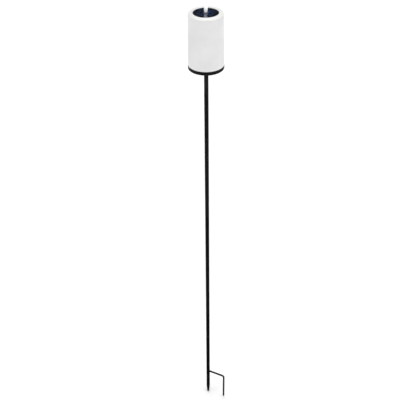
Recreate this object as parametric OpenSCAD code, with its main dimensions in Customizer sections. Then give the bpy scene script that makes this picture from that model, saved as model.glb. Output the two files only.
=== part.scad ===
// Solar candle torch on a three-part garden pole.
// Z = 0 is the ground line and the pole's axis is the Z axis. The foot prong points along +X.

/* [Candle] */
// Diameter of the white shell just below its rim
candle_top_d = 75; // [74:0.5:78]
// Diameter of the white shell at its bottom edge
candle_bottom_d = 79.2; // [77:0.2:80]
// Height of the white shell
shell_h = 117; // [100:0.2:140]
// Wall thickness of the shell
shell_wall = 2.2; // [1.8:0.1:2.4]
// Radius of the rounded outer shoulder of the rim
shoulder_r = 4.5; // [3:0.5:6]
// Diameter of the round well in the top
well_d = 55; // [53:0.5:56]
// Depth of the solar panel's surface below the rim
well_depth = 0.8; // [0.6:0.2:3]

/* [Base] */
// Height of the black band under the shell
band_h = 8.4; // [7:0.2:9]
// Thickness of the base's floor
floor_t = 2.6; // [2.4:0.1:3]
// Depth of the recess under the floor
foot_recess = 1.6; // [1.2:0.1:2]

/* [Flame] */
// Widest diameter of the flame
flame_d = 8; // [7.4:0.2:9]
// Height of the flame above its collar
flame_h = 14.6; // [12:0.2:20]
// Height of the collar above the solar panel
collar_h = 1.8; // [1.8:0.2:5]

/* [Pole] */
// Outside diameter of the pole
pole_d = 10; // [9:0.1:11]
// Wall thickness of the pole's tubes
pole_wall = 0.8; // [0.6:0.1:1]
// Length of one pole section, with the spike counted in the lowest
section_l = 345.6; // [300:0.2:400]
// Length of the plastic stem between the pole and the candle
stem_l = 63.2; // [50:0.2:80]
// Depth to which each push-fit joint goes in
joint_depth = 28; // [20:1:35]

/* [Stake] */
// Length of the spike below the ground line
spike_l = 91.6; // [80:0.2:110]
// Length of the spike's tapered point
point_l = 25; // [20:1:35]
// Distance from the pole's axis to the prong's leg
prong_reach = 51.4; // [40:0.2:60]
// Length of the prong's leg below the ground line
prong_l = 89; // [80:1:110]
// Diameter of the prong's wire
wire_d = 5; // [4:0.1:5.5]
// Bend radius on the wire's centre line
bend_r = 6; // [5:0.5:10]

/* [Hidden] */
$fn = 64;

overlap = 1;            // how far a cutting solid runs past the face that it cuts
slide_gap = 0.05;       // radial gap of a push fit that slides
press_gap = 0.02;       // radial gap drawn at a pressed or crimped fit

// heights above the ground line
lower_top = section_l - spike_l;
middle_top = lower_top + section_l;
pole_top = middle_top + section_l;
base_z = pole_top + stem_l;
shell_z = base_z + band_h;
rim_z = shell_z + shell_h;
panel_z = rim_z - well_depth;

// pole
pole_r = pole_d / 2;
bore_r = pole_r - pole_wall;
plug_r = bore_r - slide_gap;
seam_chamfer = 0.4;

// prong
wire_r = wire_d / 2;
prong_tip_h = 6;
weld_l = 3;
weld_bead = 1.1;        // how far the bead stands out round the wire
prong_z = wire_r + weld_bead + 0.1;     // the bead just clears the ground line

// stem adaptor
stem_r = pole_r - 0.1;
stem_flange_r = 5.3;
stem_flange_h = 2.5;
stem_cone_h = 10;
socket_r = 3.55;
socket_depth = 20;

// shell and the top module
top_r = candle_top_d / 2;
bottom_r = candle_bottom_d / 2;
well_r = well_d / 2;
lip_r = 1.2;
well_wall = 2;
ledge_r = 22;
ledge_depth = 8;
ledge_t = 2;
ledge_hole_r = 1.3;
shell_chamfer = 0.3;
lip_t = 3.2;            // thickness of the rim between the well and the shoulder
tray_r = well_r - 0.3;
tray_floor_t = 2;
tray_pilot_h = 3;
tube_r = 7;
tube_l = 5;
seal_t = 0.5;
panel_r = well_r - 1.6;
panel_t = 1.6;
cover_t = 0.9;
panel_hole_r = 4.4;
cell_t = 0.25;
cell_l = 35;
cell_w = 8.5;
cell_pitch = 8.9;
tray_screw_r = 24;
tray_screw_turn = 30;
panel_wire_at = [10, 2.5];
panel_wire_hole_r = 1.3;

// flame
collar_r = 3.8;
flame_wall = 0.8;
flame_neck = 0.7;       // share of the flame's widest radius at its foot
flame_waist = 0.45;     // share of its height at which it is widest
led_r = 1.5;
led_dome_h = 3.8;
led_z = panel_z + 1.5;
led_board_r = 8;
led_board_t = 1.2;
led_board_top = rim_z - ledge_depth - tube_l;

// base
band_chamfer = 0.8;
floor_top = foot_recess + floor_t;
ring_r = bottom_r - shell_wall - 0.3;
ring_wall = 1.6;
ring_h = 2.4;
boss_r = 6.5;
boss_h = 24;
rib_t = 1.6;
rib_h = 4.8;
rib_l = 2 * (ring_r - ring_wall + 0.4);
screw_circle_r = 31;
screw_angles = [90, 210, 330];
post_r = 4;
post_top = 9.8;
shell_boss_r = 3.2;
shell_boss_h = 14;
shell_rib_t = 2;
head_r = 2.6;
head_h = 1.9;
head_seat = 6;
shank_r = 1.45;
shank_l = 13;
screw_gap = 0.15;
groove_lift = 0.6;      // from the shell's foot up to the gasket's groove
groove_h = 1.3;
groove_depth = 0.85;
gasket_r = 0.5;
small_head_r = 1.9;     // the small screws, for the door, the board and the tray
small_head_h = 1.2;
small_shank_r = 0.85;

// battery compartment, in the base's own axes with z = 0 at its foot
aaa_r = 5.25;           // an AAA cell, and its length with the nub
aaa_l = 44.5;
nub_l = 1;
nub_r = 1.9;
battery_y = 12.5;
battery_z = 9.6;
spring_l = 4.4;
plate_t = 0.5;
plate_half = [4, 4.5];
contact_gap = 0.05;
bay_x = [-24.2, -24.2 + plate_t + spring_l + aaa_l + plate_t + 0.1];
bay_y = [7, 18];
bay_top = 15.6;
bay_wall = 1.2;
door_t = 1.6;
door_edge = 1.6;
door_gap = 0.3;
door_x = [bay_x[0] - door_edge + door_gap, bay_x[1] + door_edge - door_gap];
door_y = [bay_y[0] - door_edge + door_gap, bay_y[1] + door_edge - door_gap];
hinge_x = door_x[0] - 0.9;
hinge_z = 2.6;
hinge_r = 0.9;
hinge_relief_r = 1.6;
hinge_pad_h = 3;
hinge_web = [-0.6, 0.45];
pip_r = 0.5;
pip_l = 0.8;
door_screw_x = 29.2;
door_tab_r = 2.6;
door_boss_h = 7;
door_hole_r = 1;
door_pilot_r = 1.05;
door_pilot_h = 6;
door_screw_l = 3.4;
tab_w = 2.4;            // width of the solder tabs that stand up through the bay's roof
tab_rise = 2.4;

// circuit board
board_x = 36;
board_y = [-26, -10];
board_z = 9;
board_t = 1.6;
board_face = base_z + board_z + board_t;
board_hole = [14.5, -13];
board_hole_r = 1;
board_post_r = 2.4;
board_screw_l = 5.5;
chip_at = [-4, -19];
chip_size = [5, 4, 1.6];
inductor_at = [5, -20.5];
capacitor_at = [-13, -21.5];
switch_at = [0, -18];
switch_size = [8.6, 4.4, 4.6];
switch_face_t = 1;
switch_dish = [2, 3, 0.8];  // the finger dish: its reach past the slot, half width and depth
knob_size = [2.4, 1.8];
knob_plate = [3.2, 2.8, 0.9];
knob_travel = 2;
knob_foot = 0.3;

// ---- shared shapes ----

function unit(v) = v / norm(v);
function tangent(path, i) = unit(path[min(i + 1, len(path) - 1)] - path[max(i - 1, 0)]);
function ring_about(centre, along, side, r, sides) =
    let (n = unit(cross(along, side)), b = cross(along, n))
    [for (k = [0:sides - 1]) centre + r * (cos(360 * k / sides) * n + sin(360 * k / sides) * b)];
function bezier(p, steps) =
    [for (i = [0:steps]) let (t = i / steps, s = 1 - t)
        s * s * s * p[0] + 3 * s * s * t * p[1] + 3 * s * t * t * p[2] + t * t * t * p[3]];

// Points on an arc about a centre, from one angle to another.
function arc(centre, r, from, to, steps = 8) =
    [for (i = [0:steps]) let (a = from + (to - from) * i / steps) centre + r * [cos(a), sin(a)]];

// A round tube of radius r along a path, as one closed solid. side is never parallel to the path.
module tube_along(path, r, side, sides = 8) {
    last = len(path) - 1;
    points = [for (i = [0:last]) each ring_about(path[i], tangent(path, i), side, r, sides)];
    walls = [for (i = [0:last - 1], k = [0:sides - 1])
        let (a = i * sides + k, b = i * sides + (k + 1) % sides)
        each [[a, b, b + sides], [a, b + sides, a + sides]]];
    caps = [[for (k = [sides - 1:-1:0]) k], [for (k = [0:sides - 1]) last * sides + k]];
    polyhedron(points, concat(walls, caps));
}

module disc_between(r, z0, z1) {
    translate([0, 0, z0]) cylinder(r = r, h = z1 - z0);
}

module box_between(x, y, z) {
    translate([x[0], y[0], z[0]]) cube([x[1] - x[0], y[1] - y[0], z[1] - z[0]]);
}

// A rod along +Z with a small chamfer at both ends.
module chamfered_rod(r, length, chamfer) {
    rotate_extrude()
        polygon([[0, 0], [r - chamfer, 0], [r, chamfer], [r, length - chamfer],
            [r - chamfer, length], [0, length]]);
}

// A pan-head screw with a cross recess: its head's seat is at z = 0 and its shank points along +Z.
module pan_screw(head, height, shank, length) {
    slot_w = 0.28 * head;
    slot_l = 1.3 * head;
    difference() {
        rotate_extrude()
            polygon([[0, -height], [head * 0.75, -height], [head, -height * 0.55], [head, 0],
                [shank, 0], [shank, length - shank], [shank * 0.3, length], [0, length]]);
        for (turn = [0, 90])
            rotate(turn)
                translate([-slot_l / 2, -slot_w / 2, -height - overlap])
                    cube([slot_l, slot_w, height * 0.55 + overlap]);
    }
}

module small_screw(length) {
    pan_screw(small_head_r, small_head_h, small_shank_r, length);
}

module at_base_screws() {
    for (a = screw_angles)
        rotate(a) translate([screw_circle_r, 0, 0]) children();
}

module at_tray_screws() {
    for (k = [0:2])
        rotate(tray_screw_turn + 120 * k) translate([tray_screw_r, 0, 0]) children();
}

// ---- stake and pole ----

module ground_spike() {
    blunt_r = 0.6 * pole_r;
    shoulder = [[0, joint_depth], [bore_r - press_gap - seam_chamfer, joint_depth],
        [bore_r - press_gap, joint_depth - seam_chamfer], [bore_r - press_gap, 0],
        [pole_r - seam_chamfer, 0], [pole_r, -seam_chamfer], [pole_r, point_l - spike_l]];
    tip = arc([0, blunt_r - spike_l], blunt_r, 0, -90);
    color([0.06, 0.06, 0.065])
        rotate_extrude() polygon(concat(shoulder, tip));
}

module prong() {
    leg_l = prong_l + prong_z - bend_r - prong_tip_h;
    color([0.07, 0.07, 0.075])
        difference() {
            union() {
                translate([0, 0, prong_z])
                    rotate([0, 90, 0]) cylinder(r = wire_r, h = prong_reach - bend_r);
                translate([prong_reach - bend_r, 0, prong_z - bend_r])
                    rotate([90, 0, 0])
                        rotate_extrude(angle = 90) translate([bend_r, 0]) circle(r = wire_r);
                translate([prong_reach, 0, prong_z - bend_r - leg_l])
                    cylinder(r = wire_r, h = leg_l);
                translate([prong_reach, 0, -prong_l])
                    cylinder(r1 = wire_r * 0.45, r2 = wire_r, h = prong_tip_h);
            }
            disc_between(pole_r + press_gap, prong_z - wire_r - overlap, prong_z + wire_r + overlap);
        }
}

module prong_weld() {
    color([0.05, 0.05, 0.055])
        difference() {
            translate([pole_r - wire_r, 0, prong_z])
                rotate([0, 90, 0])
                    cylinder(r1 = wire_r + weld_bead, r2 = wire_r + weld_bead / 4, h = weld_l + wire_r);
            disc_between(pole_r + press_gap, -overlap, 2 * prong_z + overlap);
            translate([0, 0, prong_z])
                rotate([0, 90, 0]) cylinder(r = wire_r + press_gap, h = prong_reach - bend_r);
        }
}

// A tube with chamfered ends. crimp_z is the height of a shallow crimp groove, or 0 for none.
module pole_tube(z0, z1, crimp_z = 0) {
    groove_r = 0.9;
    groove_depth = 0.3;
    difference() {
        translate([0, 0, z0]) chamfered_rod(pole_r, z1 - z0, seam_chamfer);
        disc_between(bore_r, z0 - overlap, z1 + overlap);
        if (crimp_z > 0)
            translate([0, 0, crimp_z])
                rotate_extrude()
                    translate([pole_r + groove_r - groove_depth, 0]) circle(r = groove_r, $fn = 24);
    }
}

module lower_pole() {
    color([0.06, 0.06, 0.065]) pole_tube(0, lower_top, lower_top - joint_depth / 2);
}

module middle_pole() {
    color([0.06, 0.06, 0.065]) pole_tube(lower_top, middle_top, middle_top - joint_depth / 2);
}

module upper_pole() {
    color([0.06, 0.06, 0.065]) pole_tube(middle_top, pole_top);
}

// The plug is pressed into the tube below z and stands out of it, to slide into the tube above.
module joint_plug(z) {
    color([0.55, 0.56, 0.58])
        translate([0, 0, z - joint_depth]) chamfered_rod(plug_r, 2 * joint_depth, 1);
}

module lower_joint_plug() {
    joint_plug(lower_top);
}

module upper_joint_plug() {
    joint_plug(middle_top);
}

module stem_adaptor() {
    spigot_r = socket_r - slide_gap;
    spigot_h = socket_depth - 2;
    color([0.05, 0.05, 0.05])
        translate([0, 0, base_z])
            rotate_extrude()
                polygon([[0, -stem_l - joint_depth], [plug_r - 1, -stem_l - joint_depth],
                    [plug_r, -stem_l - joint_depth + 1.5], [plug_r, -stem_l],
                    [stem_r - 0.3, -stem_l], [stem_r, -stem_l + 0.3],
                    [stem_r, -stem_flange_h - stem_cone_h], [stem_flange_r, -stem_flange_h],
                    [stem_flange_r, -slide_gap], [spigot_r, -slide_gap],
                    [spigot_r, spigot_h - 1.5], [spigot_r - 1, spigot_h], [0, spigot_h]]);
}

// ---- base ----

// The battery compartment's outer block, hinge pad and screw boss, above the floor.
module bay_block() {
    box_between([bay_x[0] - bay_wall, bay_x[1] + bay_wall],
        [bay_y[0] - bay_wall, bay_y[1] + bay_wall], [foot_recess, bay_top + bay_wall]);
    box_between([hinge_x - hinge_relief_r - 1, bay_x[0]],
        [door_y[0] - pip_l - bay_wall, door_y[1] + pip_l + bay_wall],
        [foot_recess, hinge_z + hinge_pad_h]);
    translate([door_screw_x, battery_y, 0]) disc_between(door_tab_r, foot_recess, door_boss_h);
}

// Everything that the battery door and its hinge need cut from the base.
module bay_cut() {
    rebate_top = foot_recess + door_t;
    tab_half = door_tab_r + door_gap;
    box_between(bay_x, bay_y, [0, bay_top]);
    box_between([bay_x[0] - door_edge, bay_x[1] + door_edge],
        [bay_y[0] - door_edge, bay_y[1] + door_edge], [0, rebate_top]);
    translate([door_screw_x, battery_y, 0]) disc_between(tab_half, 0, rebate_top);
    box_between([bay_x[1], door_screw_x], [battery_y - tab_half, battery_y + tab_half],
        [0, rebate_top]);
    translate([door_screw_x, battery_y, 0]) disc_between(door_pilot_r, 0, door_pilot_h);
    box_between([hinge_x - hinge_relief_r, bay_x[0]],
        [door_y[0] - door_gap, door_y[1] + door_gap], [0, hinge_z]);
    translate([hinge_x, door_y[0] - door_gap, hinge_z])
        rotate([-90, 0, 0])
            cylinder(r = hinge_relief_r, h = door_y[1] - door_y[0] + 2 * door_gap);
    translate([hinge_x, door_y[0] - pip_l - door_gap, hinge_z])
        rotate([-90, 0, 0])
            cylinder(r = pip_r + slide_gap, h = door_y[1] - door_y[0] + 2 * (pip_l + door_gap));
    at_contacts() contact_tab(0.1);
}

module base_body() {
    groove_foot = band_h + groove_lift;
    rotate_extrude()
        polygon([[0, foot_recess], [ring_r - ring_wall, foot_recess], [ring_r - ring_wall, 0],
            [bottom_r - band_chamfer, 0], [bottom_r, band_chamfer], [bottom_r, band_h],
            [ring_r, band_h], [ring_r, groove_foot],
            [ring_r - groove_depth, groove_foot], [ring_r - groove_depth, groove_foot + groove_h],
            [ring_r, groove_foot + groove_h],
            [ring_r, band_h + ring_h], [ring_r - ring_wall, band_h + ring_h],
            [ring_r - ring_wall, floor_top], [0, floor_top]]);
    disc_between(boss_r, 0, boss_h);
    box_between([-rib_l / 2, rib_l / 2], [-rib_t / 2, rib_t / 2], [foot_recess, floor_top + rib_h]);
    at_base_screws() disc_between(post_r, foot_recess, post_top);
    for (side = [-1, 1])
        translate([side * board_hole.x, board_hole.y, 0]) disc_between(board_post_r, foot_recess, board_z);
    bay_block();
}

module base_cap() {
    slot_half = [(knob_travel + knob_size.x) / 2 + door_gap, knob_size.y / 2 + door_gap];
    color([0.05, 0.05, 0.05])
        translate([0, 0, base_z])
            difference() {
                base_body();
                disc_between(socket_r, -overlap, socket_depth);
                at_base_screws() {
                    disc_between(shank_r + screw_gap, -overlap, post_top + overlap);
                    disc_between(head_r + 2 * screw_gap, -overlap, head_seat);
                }
                for (side = [-1, 1])
                    translate([side * board_hole.x, board_hole.y, 0])
                        disc_between(small_shank_r + press_gap, floor_top, board_z + overlap);
                translate([switch_at.x, switch_at.y, 0]) {
                    box_between([-slot_half.x, slot_half.x], [-slot_half.y, slot_half.y],
                        [-overlap, floor_top + overlap]);
                    box_between([-slot_half.x - switch_dish.x, slot_half.x + switch_dish.x],
                        [-switch_dish.y, switch_dish.y], [-overlap, foot_recess + switch_dish.z]);
                }
                bay_cut();
            }
}

// A rubber ring in the base's groove, against the inside of the shell.
module base_gasket() {
    color([0.12, 0.12, 0.12])
        translate([0, 0, shell_z + groove_lift + groove_h / 2])
            rotate_extrude()
                translate([ring_r - groove_depth + gasket_r + 0.05, 0]) circle(r = gasket_r, $fn = 24);
}

module base_screws() {
    color([0.7, 0.7, 0.72])
        translate([0, 0, base_z])
            at_base_screws() translate([0, 0, head_seat]) pan_screw(head_r, head_h, shank_r, shank_l);
}

// ---- battery compartment ----

module battery_door() {
    door_z = [foot_recess, foot_recess + door_t - 0.1];
    hinge_l = door_y[1] - door_y[0];
    grip_x = 14;
    grip_pitch = 2.4;
    grip_w = 1;
    grip_half_l = 4;
    grip_depth = 0.5;
    color([0.06, 0.06, 0.06])
        translate([0, 0, base_z])
            difference() {
                union() {
                    box_between(door_x, door_y, door_z);
                    box_between([door_x[1] - overlap, door_screw_x],
                        [battery_y - door_tab_r, battery_y + door_tab_r], door_z);
                    translate([door_screw_x, battery_y, 0])
                        disc_between(door_tab_r, door_z[0], door_z[1]);
                    box_between([hinge_x, door_x[0] + overlap], door_y,
                        [hinge_z + hinge_web[0], hinge_z + hinge_web[1]]);
                    translate([hinge_x, door_y[0], hinge_z])
                        rotate([-90, 0, 0]) cylinder(r = hinge_r, h = hinge_l);
                    translate([hinge_x, door_y[0] - pip_l, hinge_z])
                        rotate([-90, 0, 0]) cylinder(r = pip_r, h = hinge_l + 2 * pip_l);
                }
                translate([door_screw_x, battery_y, 0]) disc_between(door_hole_r, 0, door_pilot_h);
                for (k = [0:3])
                    translate([grip_x + k * grip_pitch, battery_y, 0])
                        box_between([0, grip_w], [-grip_half_l, grip_half_l],
                            [0, foot_recess + grip_depth]);
            }
}

// A short captive screw through the door's tab.
module door_screw() {
    color([0.7, 0.7, 0.72])
        translate([door_screw_x, battery_y, base_z + foot_recess])
            small_screw(door_screw_l);
}

module battery() {
    color([0.16, 0.45, 0.3])
        translate([bay_x[0] + plate_t + spring_l, battery_y, base_z + battery_z])
            rotate([0, 90, 0]) chamfered_rod(aaa_r, aaa_l - nub_l, 0.5);
}

module battery_nub() {
    color([0.75, 0.75, 0.76])
        translate([bay_x[0] + plate_t + spring_l + aaa_l - nub_l, battery_y, base_z + battery_z])
            rotate([0, 90, 0]) cylinder(r = nub_r, h = nub_l);
}

// The negative contact: a conical coil between the battery and the plate behind it.
module contact_spring() {
    wire = 0.3;
    turns = 3;
    steps = 54;
    foot_r = 4.2;
    top_r = 2.2;
    x0 = bay_x[0] + 2 * contact_gap + plate_t + wire;
    length = spring_l - 2 * wire - 3 * contact_gap;
    coil = [for (i = [0:steps]) let (t = i / steps, a = 360 * turns * t, r = foot_r + t * (top_r - foot_r))
        [x0 + length * t, battery_y + r * cos(a), base_z + battery_z + r * sin(a)]];
    color([0.8, 0.8, 0.82]) tube_along(coil, wire, [1, 0, 0], 6);
}

// The two contact plates stand at the bay's ends, in the base's own axes.
module at_contacts() {
    for (x = [bay_x[0] + contact_gap, bay_x[1] - plate_t - contact_gap])
        translate([x, battery_y, 0]) children();
}

module contact_tab(grow) {
    box_between([-grow, plate_t + grow], [-tab_w / 2 - grow, tab_w / 2 + grow],
        [battery_z, bay_top + bay_wall + tab_rise + grow]);
}

module contact_plates() {
    color([0.8, 0.8, 0.82])
        translate([0, 0, base_z])
            at_contacts() {
                box_between([0, plate_t], [-plate_half.x, plate_half.x],
                    [battery_z - plate_half.y, battery_z + plate_half.y]);
                contact_tab(0);
            }
}

// ---- circuit board and switch ----

module main_board() {
    color([0.1, 0.32, 0.16])
        translate([0, 0, base_z])
            difference() {
                box_between([-board_x / 2, board_x / 2], board_y, [board_z, board_z + board_t]);
                for (side = [-1, 1])
                    translate([side * board_hole.x, board_hole.y, 0])
                        disc_between(board_hole_r, board_z - overlap, board_z + board_t + overlap);
            }
}

module control_chip() {
    dot_r = 0.4;
    dot_inset = 0.8;
    dot_depth = 0.2;
    color([0.04, 0.04, 0.04])
        translate([chip_at.x - chip_size.x / 2, chip_at.y - chip_size.y / 2, board_face])
            difference() {
                cube(chip_size);
                translate([dot_inset, dot_inset, 0])
                    disc_between(dot_r, chip_size.z - dot_depth, chip_size.z + overlap);
            }
}

module inductor() {
    flange_r = 3.4;
    flange_t = 1;
    waist_r = 2.4;
    height = 5.3;
    slope = 0.3;
    color([0.35, 0.3, 0.25])
        translate([inductor_at.x, inductor_at.y, board_face])
            rotate_extrude()
                polygon([[0, 0], [flange_r, 0], [flange_r, flange_t], [waist_r, flange_t + slope],
                    [waist_r, height - flange_t - slope], [flange_r, height - flange_t],
                    [flange_r, height], [0, height]]);
}

module capacitor() {
    color([0.12, 0.16, 0.3])
        translate([capacitor_at.x, capacitor_at.y, board_face]) chamfered_rod(2.5, 7, 0.3);
}

module board_screws() {
    color([0.7, 0.7, 0.72])
        for (side = [-1, 1])
            translate([side * board_hole.x, board_hole.y, board_face])
                mirror([0, 0, 1]) small_screw(board_screw_l);
}

module switch_body() {
    foot_z = board_z - switch_size.z;
    reach = knob_travel / 2 + door_gap;
    color([0.72, 0.73, 0.75])
        translate([switch_at.x, switch_at.y, base_z])
            difference() {
                box_between([-switch_size.x / 2, switch_size.x / 2],
                    [-switch_size.y / 2, switch_size.y / 2], [foot_z, board_z]);
                box_between([-knob_size.x / 2 - reach, knob_size.x / 2 + reach],
                    [-knob_size.y / 2 - door_gap, knob_size.y / 2 + door_gap],
                    [foot_z - overlap, foot_z + switch_face_t + overlap]);
                box_between([-knob_plate.x / 2 - reach, knob_plate.x / 2 + reach],
                    [-knob_plate.y / 2 - door_gap, knob_plate.y / 2 + door_gap],
                    [foot_z + switch_face_t, foot_z + switch_face_t + knob_plate.z + 2 * door_gap]);
            }
}

// The knob stands at its off end and slides knob_travel along +X.
module switch_knob() {
    top = board_z - switch_size.z + switch_face_t + door_gap + knob_plate.z;
    grip_pitch = 0.8;
    grip_w = 0.3;
    grip_depth = 0.35;
    color([0.85, 0.85, 0.85])
        translate([switch_at.x - knob_travel / 2, switch_at.y, base_z])
            difference() {
                union() {
                    box_between([-knob_size.x / 2, knob_size.x / 2],
                        [-knob_size.y / 2, knob_size.y / 2], [knob_foot, top]);
                    box_between([-knob_plate.x / 2, knob_plate.x / 2],
                        [-knob_plate.y / 2, knob_plate.y / 2], [top - knob_plate.z, top]);
                }
                for (k = [-1:1])
                    translate([k * grip_pitch, 0, 0])
                        box_between([-grip_w / 2, grip_w / 2], [-knob_size.y, knob_size.y],
                            [0, knob_foot + grip_depth]);
            }
}

// ---- candle shell and top module ----

function shell_outline() = concat(
    [[bottom_r - shell_wall, 0], [bottom_r - shell_chamfer, 0], [bottom_r, shell_chamfer]],
    arc([top_r - shoulder_r, shell_h - shoulder_r], shoulder_r, 0, 90),
    arc([well_r + lip_r, shell_h - lip_r], lip_r, 90, 180, 5),
    [[well_r, shell_h - ledge_depth], [ledge_r, shell_h - ledge_depth],
        [ledge_r, shell_h - ledge_depth - ledge_t],
        [well_r + well_wall, shell_h - ledge_depth - ledge_t],
        [well_r + well_wall, shell_h - lip_t]],
    arc([top_r - shoulder_r, shell_h - shoulder_r], shoulder_r - shell_wall, 90, 0, 5));

module candle_shell() {
    boss_z = post_top - band_h + 0.2;
    rib_z = ring_h + 0.4;
    pilot_z = head_seat + shank_l - band_h + 1;
    color([0.93, 0.93, 0.92])
        translate([0, 0, shell_z])
            difference() {
                union() {
                    rotate_extrude() polygon(shell_outline());
                    at_base_screws() {
                        disc_between(shell_boss_r, boss_z, boss_z + shell_boss_h);
                        box_between([0, bottom_r - shell_wall / 2 - screw_circle_r],
                            [-shell_rib_t / 2, shell_rib_t / 2], [rib_z, boss_z + shell_boss_h - 2]);
                    }
                }
                at_base_screws() disc_between(shank_r + press_gap, 0, pilot_z);
                at_tray_screws()
                    disc_between(ledge_hole_r, shell_h - ledge_depth - ledge_t - overlap,
                        shell_h - ledge_depth + overlap);
            }
}

module panel_tray() {
    bottom = rim_z - ledge_depth + 0.05;
    seat = panel_z - cover_t - panel_t - 0.1;
    top = panel_z - 0.4;
    color([0.04, 0.04, 0.045])
        difference() {
            union() {
                disc_between(tray_r, bottom, top);
                disc_between(tube_r, bottom - tube_l, bottom + overlap);
            }
            disc_between(panel_r + seal_t, seat, top + overlap);
            disc_between(ledge_r - 2.5, bottom + tray_floor_t, seat + overlap);
            disc_between(panel_hole_r, bottom - tube_l - overlap, seat + overlap);
            at_tray_screws()
                disc_between(small_shank_r + press_gap, bottom - overlap, bottom + tray_pilot_h);
            for (side = [-1, 1])
                translate([panel_wire_at.x, side * panel_wire_at.y, 0])
                    disc_between(panel_wire_hole_r, bottom - overlap, bottom + tray_pilot_h);
        }
}

module tray_screws() {
    color([0.7, 0.7, 0.72])
        translate([0, 0, rim_z - ledge_depth - ledge_t])
            at_tray_screws() small_screw(ledge_t + 2.4);
}

module solar_panel() {
    color([0.02, 0.02, 0.025])
        difference() {
            disc_between(panel_r, panel_z - cover_t - panel_t, panel_z - cover_t);
            disc_between(panel_hole_r, panel_z - 10, panel_z);
        }
}

// Four strips of silicon side by side, cut away round the flame. grow widens them to cut their pockets.
module cell_strips(grow) {
    foot = panel_z - cover_t;
    difference() {
        for (k = [-1.5:1.5])
            box_between([k * cell_pitch - cell_w / 2 - grow, k * cell_pitch + cell_w / 2 + grow],
                [-cell_l / 2 - grow, cell_l / 2 + grow], [foot + press_gap - grow, foot + cell_t + grow]);
        disc_between(panel_hole_r + 1.2 - grow, foot - overlap, foot + overlap);
    }
}

module solar_cells() {
    color([0.05, 0.09, 0.22]) cell_strips(0);
}

module panel_cover() {
    color([0.6, 0.65, 0.75, 0.35])
        difference() {
            disc_between(panel_r, panel_z - cover_t + press_gap, panel_z);
            disc_between(panel_hole_r, panel_z - 5, panel_z + overlap);
            cell_strips(press_gap);
        }
}

module panel_seal() {
    color([0.08, 0.08, 0.08])
        difference() {
            disc_between(panel_r + seal_t - press_gap, panel_z - 2, panel_z - 0.15);
            disc_between(panel_r + press_gap, panel_z - 2 - overlap, panel_z + overlap);
        }
}

// ---- flame ----

// The flame's radius at a share t of its height: it swells to its waist, then closes to a blunt point.
function flame_r(t) = flame_d / 2 * (t < flame_waist
    ? flame_neck + (1 - flame_neck) * sin(90 * t / flame_waist)
    : pow(cos(90 * (t - flame_waist) / (1 - flame_waist)), 0.5));

function flame_outline(steps = 16) =
    [for (i = [0:steps]) [i == steps ? 0 : flame_r(i / steps), flame_h * i / steps]];

function flame_hollow(steps = 12) =
    [for (i = [0:steps]) let (t = 0.86 * i / steps)
        [i == steps ? 0 : max(flame_r(t) - flame_wall, 0), flame_h * t]];

module flame_collar() {
    bore = flame_d / 2 * flame_neck - flame_wall;
    tail_r = panel_hole_r - 0.4;
    flange_r = panel_hole_r + 0.8;
    flange_t = 0.6;
    bevel = 0.6;
    color([0.3, 0.31, 0.33])
        translate([0, 0, panel_z])
            rotate_extrude()
                polygon([[bore, -tube_l], [tail_r, -tube_l], [tail_r, press_gap],
                    [flange_r, press_gap], [flange_r, flange_t], [collar_r, flange_t + 0.3],
                    [collar_r, collar_h - bevel], [collar_r - bevel, collar_h], [bore, collar_h]]);
}

module flame_diffuser() {
    color([0.97, 0.96, 0.92])
        translate([0, 0, panel_z + collar_h + press_gap])
            difference() {
                rotate_extrude() polygon(concat([[0, 0]], flame_outline()));
                rotate_extrude() polygon(concat([[0, -overlap], [flame_r(0) - flame_wall, -overlap]],
                    flame_hollow()));
            }
}

module flame_led() {
    color([0.95, 0.75, 0.4])
        translate([0, 0, led_z])
            union() {
                cylinder(r = led_r + 0.35, h = 0.8);
                cylinder(r = led_r, h = led_dome_h);
                translate([0, 0, led_dome_h]) sphere(r = led_r);
            }
}

module led_leads() {
    lead_r = 0.25;
    lead_x = 0.9;
    color([0.8, 0.8, 0.82])
        for (side = [-1, 1])
            translate([side * lead_x, 0, 0]) disc_between(lead_r, led_board_top, led_z);
}

module led_board() {
    color([0.1, 0.32, 0.16]) disc_between(led_board_r, led_board_top - led_board_t, led_board_top);
}

// ---- wiring, inside the shell ----

led_board_foot = led_board_top - led_board_t;
panel_back = panel_z - cover_t - panel_t;
wire_side = [0.2, 1, 0.1];
pad_gap = 0.14;         // keeps a slanting wire's end clear of the board that it meets
lead_r = 0.55;

// A wire that hangs from its upper end with some slack and drops onto its pad below.
module lead(from, to, slack) {
    start = from - [0, 0, pad_gap];
    end = to + [0, 0, pad_gap];
    tube_along(bezier([start, start - [slack, 0, 40], end + [slack, 4, 45], end], 20), lead_r,
        wire_side);
}

module red_wire() {
    color([0.7, 0.08, 0.06])
        lead([panel_wire_at.x, panel_wire_at.y, panel_back], [14, -22, board_face], 3);
}

module black_wire() {
    color([0.05, 0.05, 0.05])
        lead([panel_wire_at.x, -panel_wire_at.y, panel_back], [10.5, -23.5, board_face], -5);
}

module led_wires() {
    color([0.8, 0.75, 0.2]) {
        lead([-4, 2, led_board_foot], [-8, -12.5, board_face], 7);
        lead([-4, -3, led_board_foot], [-6.5, -23.5, board_face], -6);
    }
}

// Two wires from the contacts' solder tabs over to the board, one on each side of the socket.
module battery_leads() {
    tab_top = base_z + bay_top + bay_wall + tab_rise;
    color([0.65, 0.1, 0.08])
        for (side = [-1, 1]) {
            from = [side < 0 ? bay_x[0] + 0.9 : bay_x[1] - 0.9, battery_y, tab_top + 0.6];
            to = [side * 16.5, -17, board_face + pad_gap];
            tube_along(bezier([from, from + [0, -4, 8], to + [0, 2, 14], to], 16), lead_r,
                [1, 0.1, 0.1]);
        }
}

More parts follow.
